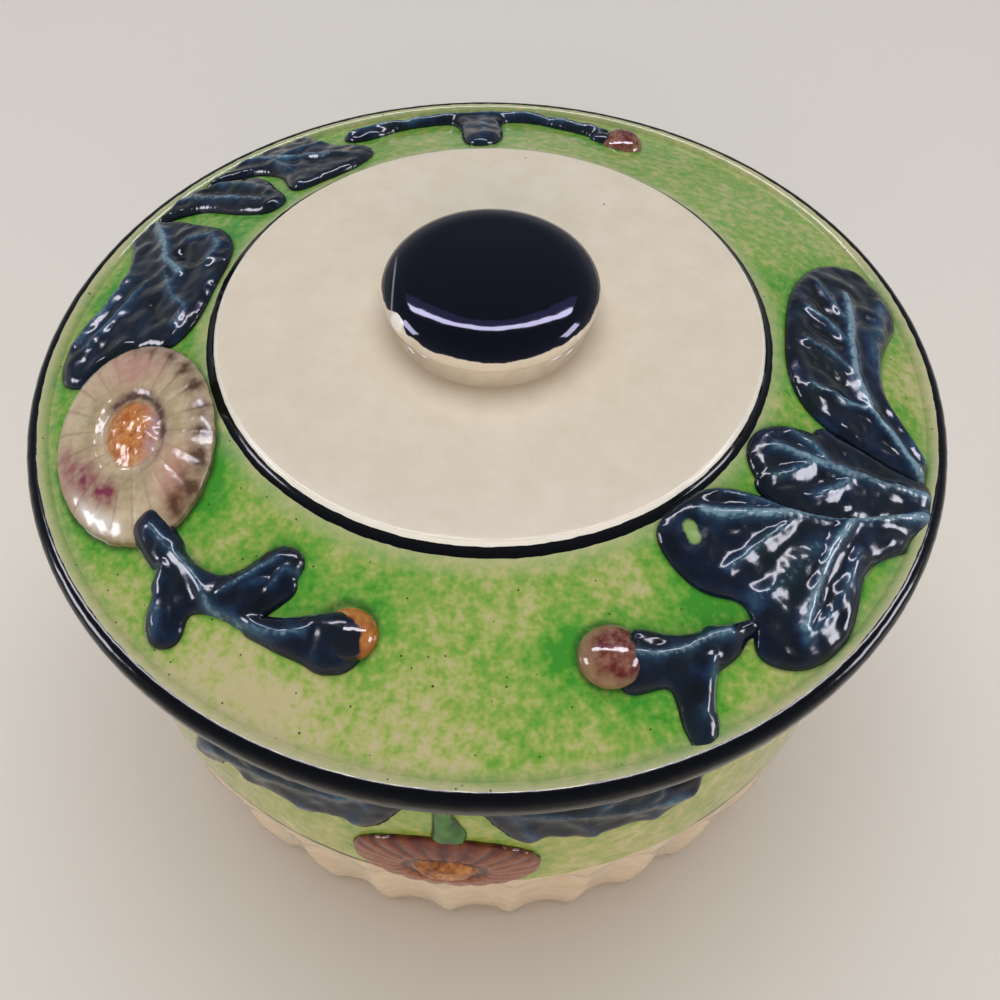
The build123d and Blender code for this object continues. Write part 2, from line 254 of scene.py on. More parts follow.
# Sponged lead glaze over cream earthenware: mottled green with pinholes, glossy, and pale cream where it is clear. A
# wavering dark olive line is touched in along the border here and there
green_thickness, green_blotch, green_dab = 0.42, 8.0, 2.2
ware_blotch, ware_dab = 12.0, 4.0
waver_size, waver = 5, 1.6
line_above_border, line_half_width, line_fade = 1.4, 0.4, 0.5
touch_size, touch_start, touch_full = 14, 0.52, 0.6
mark_pools(jar_bm, "jar_front_", [])
jar_material, tree, shader, place = fired_glaze("sponged_lead_glaze_on_jar", 0.13, 2.4, 0.05)
pool, along = (add(tree, "Attribute", attribute_name=name).outputs["Fac"] for name in ("pool", "along"))
border_run = run_to(jar_profile, (wall_radius(border_height), border_height))
rim_run = run_to(jar_profile, (mouth_radius, jar_height - mouth_rounding))
foot_run = run_to(jar_profile, (foot_radius, edge_rounding))
green = sponged(tree, place, add(tree, "Math", {0: pool, 1: green_thickness}), green_blotch, green_dab, [
    (0.1, "#CBC58E"), (0.32, "#B8B56A"), (0.55, "#A0AC52"), (0.95, "#6E9A35")])
ware = sponged(tree, place, 0.5, ware_blotch, ware_dab, [(0.2, "#E3CDAD"), (0.8, "#D6BA95")])
wander = add(tree, "TexNoise", {"Vector": place, "Scale": 1 / (waver_size * MM)})
edge = add(tree, "Math", {0: wander, 1: waver, 2: along}, operation="MULTIPLY_ADD")
on_wall = add(tree, "MapRange", {0: edge, 1: border_run + 0.6, 2: border_run + 1.0})
under_rim = add(tree, "MapRange", {0: edge, 1: rim_run + 0.2, 2: rim_run - 0.4})
painted = add(tree, "Math", {0: on_wall, 1: under_rim}, operation="MULTIPLY")
coat = add(tree, "Mix", {0: painted, 6: ware, 7: green}, data_type="RGBA")
from_line = add(tree, "Math", {0: edge, 1: -border_run - line_above_border})
off_line = add(tree, "Math", {0: from_line}, operation="ABSOLUTE")
on_line = add(tree, "MapRange", {0: off_line, 1: line_half_width + line_fade, 2: line_half_width})
touches = add(tree, "TexNoise", {"Vector": place, "Scale": 1 / (touch_size * MM)})
touched = add(tree, "MapRange", {0: touches, 1: touch_start, 2: touch_full})
accent = add(tree, "Math", {0: on_line, 1: touched}, operation="MULTIPLY")
coat = add(tree, "Mix", {0: accent, 6: coat, 7: colour("#5D5C28")}, data_type="RGBA")
bare = add(tree, "MapRange", {0: along, 1: foot_run + 0.3, 2: foot_run - 0.3})
coat = add(tree, "Mix", {0: bare, 6: coat, 7: colour("#C5A787")}, data_type="RGBA")
pits = pinholes(tree, place, spacing=2.1, size=0.3, share=0.6)
coat = add(tree, "Mix", {0: pits, 6: coat, 7: colour("#4A4628")}, data_type="RGBA")
tree.links.new(coat.outputs[2], shader.inputs["Base Color"])
finished("jar_body", jar_bm, "jar", jar_material)

# Jar leaves and stalks
# Two toothed leaves and a stalk above each daisy, front and back: clay pressed in a small mould, luted to the wall
# with slip and flooded with navy or green glaze.
spray_degrees = {"front": 266, "rear": 86}
unroll_radius = 65.0
jar_voxel, slip_sink, sprig_widening, pad_spacing = 0.42, 0.15, 0.35, 0.6


def wall_sheet(spray):
    """Two functions that unroll the jar's wall about a spray into a flat sheet and roll it up again, and the size of
    the even mesh on it."""
    middle = radians(spray_degrees[spray])

    def unroll(coords):
        turn = (np.arctan2(coords[:, 1], coords[:, 0]) - middle + pi) % (2 * pi) - pi
        lift = np.hypot(coords[:, 0], coords[:, 1]) - wall_radius(coords[:, 2])
        return np.column_stack((turn * unroll_radius, coords[:, 2], lift))

    def roll(flat):
        turn = flat[:, 0] / unroll_radius + middle
        out = wall_radius(flat[:, 1]) + flat[:, 2]
        return np.column_stack((out * np.cos(turn), out * np.sin(turn), flat[:, 1]))
    return unroll, roll, jar_voxel


def evenly(points, spacing):
    """Places along a line of points, no further apart than the spacing."""
    places = [points[0]]
    for start, end in zip(np.array(points), np.array(points[1:])):
        steps = int(np.ceil(np.linalg.norm(end - start) / spacing))
        places += [start + (end - start) * step / steps for step in range(1, steps + 1)]
    return places


def even_copy(node, sheet, pads=()):
    """Evenly meshed copy of a CAD node, in millimetres, with runs of round pads, widened to close the gaps."""
    flatten, wrap, voxel = sheet
    bm = bmesh.new()
    bm.from_mesh(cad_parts[node].data)
    bmesh.ops.scale(bm, vec=(1 / MM, 1 / MM, 1 / MM), verts=bm.verts)
    bmesh.ops.remove_doubles(bm, verts=bm.verts, dist=0.001)
    lifts = flatten(np.array([vert.co for vert in bm.verts]))[:, 2]
    for u, v, radius in [place for run in pads for place in evenly(run, pad_spacing)]:
        pad = bmesh.ops.create_cone(bm, cap_ends=True, segments=32, radius1=radius, radius2=radius, depth=1,
                                    matrix=Matrix.Translation((u, v, 0)))["verts"]
        flat = np.array([(vert.co.x, vert.co.y, lifts.max() if vert.co.z > 0 else lifts.min()) for vert in pad])
        for vert, place in zip(pad, wrap(flat)):
            vert.co = place
    copy = bpy.data.objects.new("pressed_copy", bpy.data.meshes.new("pressed_copy"))
    bm.to_mesh(copy.data)
    bm.free()
    bpy.context.collection.objects.link(copy)
    grid = copy.modifiers.new("even_grid", "REMESH")
    grid.mode, grid.voxel_size = "VOXEL", voxel
    mesh = bpy.data.meshes.new_from_object(copy.evaluated_get(bpy.context.evaluated_depsgraph_get()))
    bm = bmesh.new()
    bm.from_mesh(mesh)
    bpy.data.objects.remove(copy)
    bpy.data.meshes.remove(mesh)
    bm.normal_update()
    for vert, normal in [(vert, vert.normal.copy()) for vert in bm.verts]:
        vert.co += normal * sprig_widening
    return bm


def ridge_lift(plan, ridges):
    """Lift of ridges and grooves at plan places; each has a width, a lift and a line of points."""
    peak, dip = np.zeros(len(plan)), np.zeros(len(plan))
    for width, lift, points in ridges:
        near = np.full(len(plan), np.inf)
        for a, b in zip(np.array(points), np.array(points[1:])):
            share = np.clip((plan - a) @ (b - a) / ((b - a) @ (b - a)), 0, 1)
            near = np.minimum(near, np.linalg.norm(plan - a - share[:, None] * (b - a), axis=1))
        swell = lift * np.exp(-(near / width) ** 2)
        peak, dip = np.maximum(peak, swell), np.minimum(dip, swell)
    return peak + dip


def inset_from(plan, rim):
    """Distance of each plan place from the nearest rim place."""
    tree = kdtree.KDTree(len(rim))
    for index, (u, v) in enumerate(rim):
        tree.insert((u, v, 0), index)
    tree.balance()
    return np.array([tree.find((u, v, 0))[2] for u, v in plan])


edge_height, edge_width, relief_inset = 0.25, 2.0, 1.2
lump_size, small_lump_size, small_lump_share = 2.7, 1.3, 0.2


def pressed_sprig(node, sheet, crown, lump, ridges, pads=(), raised=()):
    """Relief over a CAD node's outline: rounded edge, ridges and grooves, raised spots, and lumps of thick glaze."""
    flatten, wrap, _ = sheet
    bm = even_copy(node, sheet, pads)
    flat = flatten(np.array([vert.co for vert in bm.verts]))
    rise = np.clip((flat[:, 2] - flat[:, 2].min()) / (flat[:, 2].max() - flat[:, 2].min()), 0, 1)
    inset = inset_from(flat[:, :2], flat[(rise > 0.3) & (rise < 0.7), :2])
    lift = ridge_lift(flat[:, :2], ridges)
    lumps = np.array([
        noise.noise((u / lump_size, v / lump_size, 7))
        + small_lump_share * noise.noise((u / small_lump_size, v / small_lump_size, 3)) for u, v in flat[:, :2]])
    dome = np.sqrt(1 - (1 - np.clip(inset / edge_width, 0, 1)) ** 2)
    top = edge_height + (crown - edge_height) * dome + (lift + lump * lumps) * np.clip(inset / relief_inset, 0, 1)
    for u, v, size, height in raised:
        top += height * np.exp(-((flat[:, 0] - u) ** 2 + (flat[:, 1] - v) ** 2) / size**2)
    flat[:, 2] = (top + slip_sink) * rise - slip_sink
    ridge = bm.verts.layers.float.new("ridge")
    for vert, place, swell in zip(bm.verts, wrap(flat), lift):
        vert.co, vert[ridge] = place, swell
    for _ in range(3):
        bmesh.ops.smooth_vert(bm, verts=bm.verts, factor=0.5, use_axis_x=True, use_axis_y=True, use_axis_z=True)
    return bm


def flooded_glaze(name, tints, murk, rub):
    """Thick coloured glaze over relief: dark in the hollows, thin over the ridges, rubbed or worn away in places."""
    material, tree, shader, place = fired_glaze(name, 0.16, 1.4, 0.04)
    cloud_size, drift_size, grain_size = 3.5, 9, 0.7
    ridge, wear = (add(tree, "Attribute", attribute_name=name).outputs["Fac"] for name in ("ridge", "worn"))
    cloud = add(tree, "TexNoise", {"Vector": place, "Scale": 1 / (cloud_size * MM), "Detail": 3.0})
    ridge_share = add(tree, "Math", {0: ridge, 1: -0.35})
    thin = add(tree, "Math", {0: cloud, 1: 1.2, 2: ridge_share}, operation="MULTIPLY_ADD")
    tint = add(tree, "ValToRGB", {0: thin}, stops=[(share, colour(code)) for share, code in tints])
    drift = add(tree, "TexNoise", {"Vector": place, "Scale": 1 / (drift_size * MM), "Detail": 1.0})
    murky = add(tree, "MapRange", {0: drift, 1: 0.5, 2: 0.68, 4: 0.7})
    tint = add(tree, "Mix", {0: murky, 6: tint, 7: colour(murk)}, data_type="RGBA")
    grain = add(tree, "TexNoise", {"Vector": place, "Scale": 1 / (grain_size * MM), "Detail": 2.0})
    grainy_ridge = add(tree, "Math", {0: ridge, 1: grain}, operation="MULTIPLY")
    rubbed = add(tree, "MapRange", {0: grainy_ridge, 1: 0.26, 2: 0.46, 4: 0.6})
    tint = add(tree, "Mix", {0: rubbed, 6: tint, 7: colour(rub)}, data_type="RGBA")
    grainy_wear = add(tree, "Math", {0: grain, 1: 0.3, 2: wear}, operation="MULTIPLY_ADD")
    worn = add(tree, "MapRange", {0: grainy_wear, 1: 0.45, 2: 0.8})
    tint = add(tree, "Mix", {0: worn, 6: tint, 7: colour("#84A05C")}, data_type="RGBA")
    tree.links.new(tint.outputs[2], shader.inputs["Base Color"])
    return material


# Navy lead glaze flooded over pressed leaves: nearly black in the hollows, teal where it thins over the ribs. The
# jar's leaves mirror less, because this table is paler than the one that the photographed jar stands on
navy_tints = [(0.0, "#05090F"), (0.3, "#0B1628"), (0.6, "#1A2F4A"), (0.9, "#325468"), (1.0, "#527486")]
navy_murk = "#111B1A"
jar_navy_material = flooded_glaze("flooded_navy_glaze_on_jar", navy_tints, navy_murk, "#5E7684")
jar_navy_material.node_tree.nodes["Principled BSDF"].inputs["Specular IOR Level"].default_value = 0.2
# Copper-green glaze flooded over the stalks: grass green, darker where it gathers
stalk_material = flooded_glaze("flooded_copper_green_glaze", [
    (0.0, "#1E3D12"), (0.4, "#3E7A24"), (0.9, "#7FA94A")], "#22331B", "#9DB873")
border_to_mouth = jar_height - border_height
leaf_crown, leaf_lump, filled_tooth_radius = 1.2, 0.18, 1.8
stalk_crown, stalk_lump = 1.5, 0.15


def wall_line(side, shares):
    """Line on the unrolled wall from angles off the spray's middle and shares of the height."""
    return [(radians(side * angle) * unroll_radius, border_height + share * border_to_mouth)
            for angle, share in shares]


def jar_leaf_ridges(side):
    """Midrib and side veins of a jar leaf on one side of the spray."""
    veins = [(1.3, 0.55, [(3, .78), (12, .66), (22, .58), (31, .5), (35, .38)])]
    veins += [(1.0, 0.4, line) for line in (
        [(8, .71), (9.5, .6), (10.8, .49)], [(14, .64), (17, .53), (18.3, .45)], [(22, .58), (25, .5), (26.2, .44)],
        [(9, .7), (12, .77), (13, .8)], [(17, .61), (20.5, .68), (22, .7)], [(24, .57), (27, .63), (27.6, .66)])]
    return [(width, lift, wall_line(side, line)) for width, lift, line in veins]


for spray in spray_degrees:
    sheet = wall_sheet(spray)
    for side, sign in (("left", -1), ("right", 1)):
        node = f"jar_{spray}_{side}_leaf"
        lower_teeth = wall_line(sign, [(9.5, .53), (18.3, .47), (27, .47)])
        filled_teeth = [[(*place, filled_tooth_radius) for place in lower_teeth]]
        leaf_bm = pressed_sprig(node, sheet, leaf_crown, leaf_lump, jar_leaf_ridges(sign), filled_teeth)
        finished(node, leaf_bm, "jar", jar_navy_material)
    node = f"jar_{spray}_stalk"
    stalk_bm = pressed_sprig(node, sheet, stalk_crown, stalk_lump, [])
    finished(node, stalk_bm, "jar", stalk_material)

# Jar daisies
# A daisy below each stalk, pressed and luted on as the leaves are: 22 ribbed petals round a domed eye, brushed with
# red-brown and orange glaze.
petal_count, streak_size = 22, 1.6
overhang_kept, petal_edge_height, flower_wall_share = 0.25, 0.2, 0.6
daisy_height = border_height + 0.22 * border_to_mouth
daisy_halves, daisy_swell, daisy_eye_share = (13.2, 8.2), 0.5, 0.36
daisy_heights, daisy_rib_lift = (1.7, 1.0, 1.1, 2.5), 0.25
rim_start, rim_width, rim_drop = 0.86, 0.18, 0.85
stamen_size, stamen_lift = 1.1, 0.45
ring_share, ring_width = 1.12, 0.07


def flower_head(node, sheet, middle, turn, cad_halves, swell, eye_share, heights, rib_lift, strokes):
    """Petals and eye over a CAD flower, swollen past its half axes; heights are the petals' root and tip, the groove
    round the eye, and the eye."""
    flatten, wrap, _ = sheet
    halves = [half + swell for half in cad_halves]
    bm = even_copy(node, sheet)
    flat = flatten(np.array([vert.co for vert in bm.verts]))
    root, tip, groove, eye = heights
    offset = flat[:, :2] - middle
    u = (offset[:, 0] * cos(turn) + offset[:, 1] * sin(turn)) / (cad_halves[0] + sprig_widening)
    v = (offset[:, 1] * cos(turn) - offset[:, 0] * sin(turn)) / (cad_halves[1] + sprig_widening)
    reach, around = np.hypot(u, v), np.arctan2(v, u)
    pressed = np.where(reach > 1, (1 + overhang_kept * (reach - 1)) / np.maximum(reach, 1), 1)
    u, v, reach = u * pressed, v * pressed, reach * pressed
    flat[:, 0] = middle[0] + u * halves[0] * cos(turn) - v * halves[1] * sin(turn)
    flat[:, 1] = middle[1] + u * halves[0] * sin(turn) + v * halves[1] * cos(turn)
    wall = flower_wall_share * (flat[:, 2].max() - flat[:, 2].min())
    rise = np.clip((flat[:, 2] - flat[:, 2].min()) / wall, 0, 1)
    petal_share = np.clip((reach - eye_share) / (1 - eye_share), 0, 1)
    petals = root + (tip - root) * petal_share**1.5
    ribs = np.abs(np.cos(around * petal_count / 2))
    petals += rib_lift * (ribs - 0.6) * np.clip(petal_share * 3, 0, 1)
    petals *= np.sqrt(1 - np.clip((reach - rim_start) / rim_width, 0, 1) ** 2 * rim_drop)
    stamens = np.array([noise.noise((x / stamen_size, y / stamen_size, 1)) for x, y in offset])
    dome = eye + (groove - eye) * np.clip(reach / eye_share, 0, 1) ** 3 + stamen_lift * stamens * (reach < eye_share)
    dip = np.exp(-((reach - eye_share * ring_share) / ring_width) ** 2)
    top = np.where(reach < eye_share, dome, petals) * (1 - dip) + groove * dip
    flat[:, 2] = (np.maximum(top, petal_edge_height) + slip_sink) * rise - slip_sink
    values = {"reach": reach, "rib": ribs}
    for name, patches in strokes.items():
        values[name] = sum(
            strength * np.exp(-((((around - radians(at) + pi) % (2 * pi) - pi) / radians(wide)) ** 2))
            * np.exp(-((reach - far) / deep) ** 2) * (1 - ribbed * ribs)
            for at, wide, far, deep, strength, ribbed in patches)
    for vert, place in zip(bm.verts, wrap(flat)):
        vert.co = place
    for name, numbers in values.items():
        layer = bm.verts.layers.float.new(name)
        for vert, number in zip(bm.verts, numbers):
            vert[layer] = number
    bmesh.ops.smooth_vert(bm, verts=bm.verts, factor=0.5, use_axis_x=True, use_axis_y=True, use_axis_z=True)
    return bm


def stroked(tree, place, tint, strokes):
    """Colour with strokes laid over it, of glaze and, on the lid flower, of painted highlight and shade; each has the
    vertex value that it follows, a colour and a strength.
    """
    streaks = add(tree, "TexNoise", {"Vector": place, "Scale": 1 / (streak_size * MM), "Detail": 2.0})
    for stroke, code, strength in strokes:
        laid = add(tree, "Attribute", attribute_name=stroke).outputs["Fac"]
        laid = add(tree, "Math", {0: laid, 1: strength}, operation="MULTIPLY")
        laid = add(tree, "Math", {0: laid, 1: streaks}, operation="MULTIPLY", use_clamp=True)
        tint = add(tree, "Mix", {0: laid, 6: tint, 7: colour(code)}, data_type="RGBA")
    return tint


# Brush strokes on a flower: degrees round it, spread, share of the way out, spread, strength, share lost on the ribs
daisy_strokes = {
    "deep": [(90, 55, 0.8, 0.3, 1.0, 0.3)],
    "rust": [(-90, 60, 0.6, 0.4, 1.0, 0.2)],
    "rose": [(0, 38, 0.8, 0.3, 0.8, 0.2), (180, 38, 0.8, 0.3, 0.8, 0.2)],
}
# Red-brown and orange glazes brushed on the daisy: dark red above, rust below, orange-brown eye with a dark ring
daisy_material, tree, shader, place = fired_glaze("brushed_red_brown_glaze", 0.1, 1.2, 0.07)
reach, rib = (add(tree, "Attribute", attribute_name=name).outputs["Fac"] for name in ("reach", "rib"))
brushed = sponged(tree, place, rib, 7.0, 2.0, [(0.1, "#4C2218"), (0.5, "#703722"), (0.95, "#955639")])
brushed = stroked(tree, place, brushed, (("deep", "#541C1A", 1.7), ("rust", "#9C5226", 1.7), ("rose", "#9C6450", 1.5)))
eye_glaze = sponged(tree, place, 0.5, 3.0, 1.0, [(0.2, "#6E3E1E"), (0.5, "#A5632F"), (0.8, "#C98A4C")])
on_petals = add(tree, "ValToRGB", {0: reach}, stops=[
    (0.0, colour("#000000")), (0.34, colour("#000000")), (0.37, colour("#FFFFFF"))])
tint = add(tree, "Mix", {0: on_petals, 6: eye_glaze, 7: brushed}, data_type="RGBA")
off_ring = add(tree, "Math", {0: add(tree, "Math", {0: reach, 1: -0.4})}, operation="ABSOLUTE")
ring = add(tree, "MapRange", {0: off_ring, 1: 0.07, 2: 0.02, 4: 0.8})
tint = add(tree, "Mix", {0: ring, 6: tint, 7: colour("#2E1A12")}, data_type="RGBA")
tree.links.new(tint.outputs[2], shader.inputs["Base Color"])
for spray in spray_degrees:
    node = f"jar_{spray}_daisy"
    daisy_bm = flower_head(
        node, wall_sheet(spray), (0, daisy_height), 0.0, daisy_halves, daisy_swell, daisy_eye_share, daisy_heights,
        daisy_rib_lift, daisy_strokes)
    finished(node, daisy_bm, "jar", daisy_material)

# Lid
# Slip-cast disc, sloping band and rolled bead, with a flange below that drops into the jar's mouth. The disc is
# under clear glaze, the band is sponged green, and the step and the bead are lined in black.
lid_radius, bead_radius, bead_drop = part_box("lid")[1].x / MM, 1.75, 0.9
disc_radius, disc_height, disc_rounding = 40.3, 13.4, 0.6
disc_step, disc_step_run = 1.1, 0.6
lid_wall, lid_play, flange_wall, flange_drop, flange_rounding = 4.2, 1.0, 3.8, 7.0, 0.8
hollow_top_radius, hollow_shoulder_height = 37.2, 80.56
bead_ripple_size, bead_ripple_depth, lid_steps = 1.1, 0.07, 420
disc_top = jar_height + disc_height
band_inner, band_top = disc_radius + disc_step_run, disc_top - disc_step
bead_middle = (lid_radius - bead_radius, jar_height + bead_radius)
crease = (bead_middle[0] - bead_radius * cos(radians(30)), bead_middle[1] + bead_radius * sin(radians(30)))
band_fall = (band_top - crease[1]) / (crease[0] - band_inner)
flange_radius = inner_mouth - lid_play
hollow_radius = flange_radius - flange_wall
ceiling = disc_top - lid_wall
hollow_edge = (hollow_top_radius, ceiling)
shoulder = (hollow_radius, hollow_shoulder_height)
bead_round = (bead_radius, bead_radius)
flange_round = (flange_rounding, flange_rounding)
flange_low = jar_height - flange_drop
lid_profile = [(0, disc_top)] + straight((0, disc_top), (disc_radius - disc_rounding, disc_top), 30)
disc_edge = (disc_radius - disc_rounding, disc_top - disc_rounding)
lid_profile += arc(disc_edge, (disc_rounding, disc_rounding), 90, 30, 4)[1:]
lid_profile += straight(lid_profile[-1], (band_inner, band_top), 3)
lid_profile += straight((band_inner, band_top), crease, 42)
lid_profile += arc(bead_middle, bead_round, 150, 0, 14)[1:]
lid_profile += arc((bead_middle[0], bead_middle[1] - bead_drop), bead_round, 0, -90, 8)
lid_profile += straight(lid_profile[-1], (crease[0], jar_height), 2)
lid_profile += straight(lid_profile[-1], (flange_radius, jar_height), 6)
lid_profile += straight(lid_profile[-1], (flange_radius, flange_low + flange_rounding), 4)
lid_profile += arc((flange_radius - flange_rounding, flange_low + flange_rounding), flange_round, 0, -90, 3)[1:]
lid_profile += arc((hollow_radius + flange_rounding, flange_low + flange_rounding), flange_round, -90, -180, 3)
lid_profile += straight(lid_profile[-1], shoulder, 6)
lid_profile += straight(shoulder, hollow_edge, 8)
lid_profile += straight(hollow_edge, (0, ceiling), 12)
lid_bm = turned(lid_profile, lid_steps)
for vert in lid_bm.verts:
    if vert.co.xy.length > crease[0] + 0.3:
        vert.co.xy *= 1 + bead_ripple_depth * noise.noise(vert.co / bead_ripple_size) / lid_radius
# Pooled and thin spots of the green glaze: a place, a spread and a strength
pool_spots = [
    (9.5, -52, 3.5, 0.4), (20, -58, 3.5, 0.3), (28.5, -45.5, 4, 0.45), (-36.5, -26.5, 4, 0.5), (-37, -33, 3, 0.4),
    (-24, -45, 3.5, 0.35), (-9, -46, 5, 0.12), (3, -60, 5, 0.12), (-62, 12, 4, 0.35), (-41, 22, 4, 0.3),
    (60, 14, 3.5, 0.3), (44, 12, 4, 0.2), (-38, -52, 11, -0.36), (-24, -60, 9, -0.34), (63, -3, 7, -0.25),
    (38, -53, 6, -0.2), (18, -40, 5, -0.1), (-8, -62, 8, -0.2)]
mark_pools(lid_bm, "lid_", pool_spots)

# Sponged green, black line and clear lead glazes: mottled band, cream disc with a few specks and faint craze lines.
# It mirrors less than such a glaze, because this table is paler than the one in the photograph
band_thickness, band_blotch, band_dab = 0.45, 6.5, 1.6
disc_blotch, disc_dab, craze_size = 16.0, 5.0, 13
line_waver_size, line_waver, line_in, line_out = 2.5, 0.4, 0.25, 1.3
lid_material, tree, shader, place = fired_glaze("sponged_and_lined_lead_glaze_on_lid", 0.12, 2.6, 0.05)
shader.inputs["Specular IOR Level"].default_value = 0.36
pool, along, beside = (
    add(tree, "Attribute", attribute_name=name).outputs["Fac"] for name in ("pool", "along", "beside"))
disc_run = run_to(lid_profile, (disc_radius, disc_top - disc_rounding))
bead_top_run = run_to(lid_profile, (bead_middle[0] + bead_radius * cos(radians(100)), bead_middle[1] + bead_radius))
bead_run = run_to(lid_profile, (bead_middle[0] + 0.9, jar_height - bead_drop))
wander = add(tree, "TexNoise", {"Vector": place, "Scale": 1 / (line_waver_size * MM), "Detail": 3.0})
steady = add(tree, "Math", {0: along, 1: -line_waver / 2})
edge = add(tree, "Math", {0: wander, 1: line_waver, 2: steady}, operation="MULTIPLY_ADD")
green = sponged(tree, place, add(tree, "Math", {0: pool, 1: band_thickness}), band_blotch, band_dab, [
    (0.05, "#B9AF83"), (0.28, "#A6AC66"), (0.5, "#87A34A"), (0.75, "#629B37"), (1.0, "#3F8C2A")])
ware = sponged(tree, place, 0.5, disc_blotch, disc_dab, [(0.2, "#DCD0BE"), (0.8, "#D5C8B3")])
craze = add(tree, "TexVoronoi", {"Vector": place, "Scale": 1 / (craze_size * MM)}, feature="DISTANCE_TO_EDGE")
cracked = add(tree, "MapRange", {0: craze, 1: 0.02, 2: 0.005, 4: 0.025})
ware = add(tree, "Mix", {0: cracked, 6: ware, 7: colour("#9C8A72")}, data_type="RGBA")
across_band = add(tree, "MapRange", {0: edge, 1: disc_run, 2: bead_top_run})
margins = add(tree, "ValToRGB", {0: across_band}, stops=[(share, colour(code)) for share, code in (
    (0.0, "#FFFFFF"), (0.09, "#A0A0A0"), (0.15, "#000000"), (0.88, "#000000"), (0.97, "#C0C0C0"), (1.0, "#FFFFFF"))])
thin = add(tree, "Math", {0: margins, 1: 0.8}, operation="MULTIPLY")
green = add(tree, "Mix", {0: thin, 6: green, 7: colour("#BDB493")}, data_type="RGBA")
stain = add(tree, "MapRange", {0: beside, 1: 0.9, 2: 0.1, 4: 0.75})
green = add(tree, "Mix", {0: stain, 6: green, 7: colour("#24401C")}, data_type="RGBA")
# Paler ware on the disc's rounded edge: partly clear glaze running thin over the edge, partly a painted highlight
thin_glaze_and_edge_highlight = add(tree, "MapRange", {0: edge, 1: disc_run - 0.9, 2: disc_run - 0.55})
ware = add(tree, "Mix", {0: thin_glaze_and_edge_highlight, 6: ware, 7: colour("#F1EBE0")}, data_type="RGBA")
on_band = add(tree, "MapRange", {0: edge, 1: disc_run + 0.5, 2: disc_run + 0.7})
coat = add(tree, "Mix", {0: on_band, 6: ware, 7: green}, data_type="RGBA")
pits = pinholes(tree, place, spacing=1.8, size=0.27, share=0.62)
pits = add(tree, "Math", {0: pits, 1: on_band}, operation="MULTIPLY")
specks = pinholes(tree, place, spacing=5.5, size=0.36, share=0.6)
pits = add(tree, "Math", {0: pits, 1: specks}, operation="MAXIMUM")
coat = add(tree, "Mix", {0: pits, 6: coat, 7: colour("#3A371F")}, data_type="RGBA")
ramp_run = 100.0
black_zones = add(tree, "ValToRGB", {0: add(tree, "MapRange", {0: edge, 1: 0.0, 2: ramp_run})}, stops=[
    (run / ramp_run, colour(code)) for run, code in (
        (0.0, "#000000"), (disc_run - line_in, "#FFFFFF"), (disc_run + line_out, "#000000"),
        (bead_top_run, "#FFFFFF"), (bead_run, "#000000"))])
black_zones.color_ramp.interpolation = "CONSTANT"
lined = add(tree, "Mix", {0: black_zones, 6: coat, 7: colour("#050506")}, data_type="RGBA")
tree.links.new(lined.outputs[2], shader.inputs["Base Color"])
finished("lid", lid_bm, "lid", lid_material)

# Lid leaves and twigs
# Three leaves at the right and three at the left, and twigs at the right, front and back that end in buds: pressed
# clay sprigs luted round the sloping band and flooded with navy glaze, as the jar's leaves are.
lid_voxel, lid_sprig_crown, lid_sprig_lump = 0.34, 1.5, 0.4


def band_seat(x, y):
    """Height of the sloping band at a plan place."""
    return band_top - (np.hypot(x, y) - band_inner) * band_fall


def off_band(coords):
    """Plan place and lift above the sloping band."""
    return np.column_stack((coords[:, :2], coords[:, 2] - band_seat(*coords[:, :2].T)))


def onto_band(flat):
    """Place over the sloping band from a plan place and a lift."""
    return np.column_stack((flat[:, :2], flat[:, 2] + band_seat(*flat[:, :2].T)))


band_sheet = (off_band, onto_band, lid_voxel)
